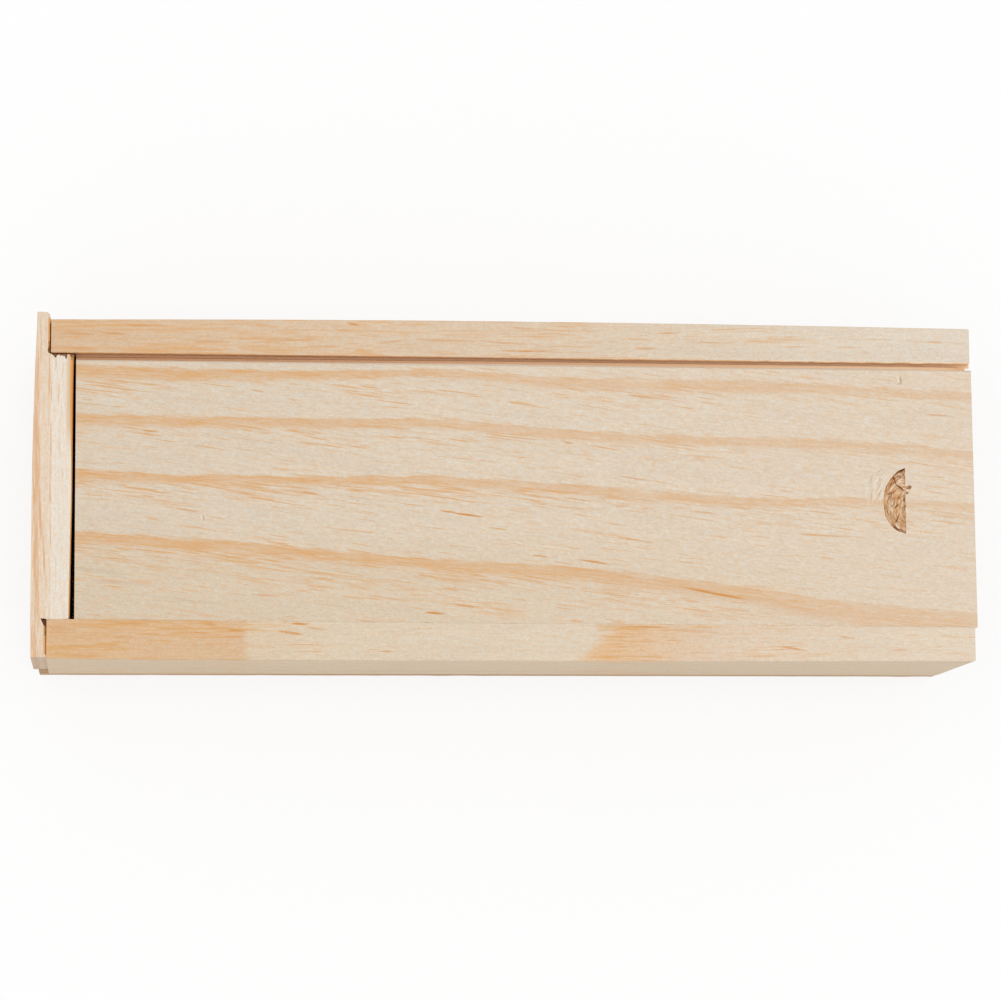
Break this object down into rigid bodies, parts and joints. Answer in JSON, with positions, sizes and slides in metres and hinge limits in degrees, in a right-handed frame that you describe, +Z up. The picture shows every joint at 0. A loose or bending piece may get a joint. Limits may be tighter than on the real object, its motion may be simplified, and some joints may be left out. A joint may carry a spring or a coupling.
{
  "type": "sliding lid wooden box",
  "caption": "Long narrow pine box with a flat lid that slides out of side grooves over its low end and has a half-moon thumb notch.",
  "frame": {"origin": "middle of the box's footprint, on the surface that it stands on", "axes": "+X along the box towards the open end, where the lid slides out; +Y towards the far side board; +Z up"},
  "size_m": [0.204, 0.0746, 0.0445],
  "materials": {
    "far_side_pine": "bare sanded pine",
    "near_side_pine": "bare sanded pine",
    "tall_end_pine": "bare sanded pine",
    "strip_pine": "bare rough pine",
    "low_end_pine": "bare sanded pine",
    "bottom_pine": "bare rough pine",
    "lid_pine": "bare sanded pine"
  },
  "bodies": {
    "box": {"far_side_board": "far_side_pine", "near_side_board": "near_side_pine", "tall_end_board": "tall_end_pine", "lower_end_strip": "strip_pine", "low_end_board": "low_end_pine", "bottom_panel": "bottom_pine"},
    "lid": {"lid": "lid_pine"}
  },
  "joints": [
    {"name": "lid_slide", "type": "slide", "parent": "box", "child": "lid", "axis": [1, 0, 0], "range_m": [-0.0003, 0.2]}
  ]
}
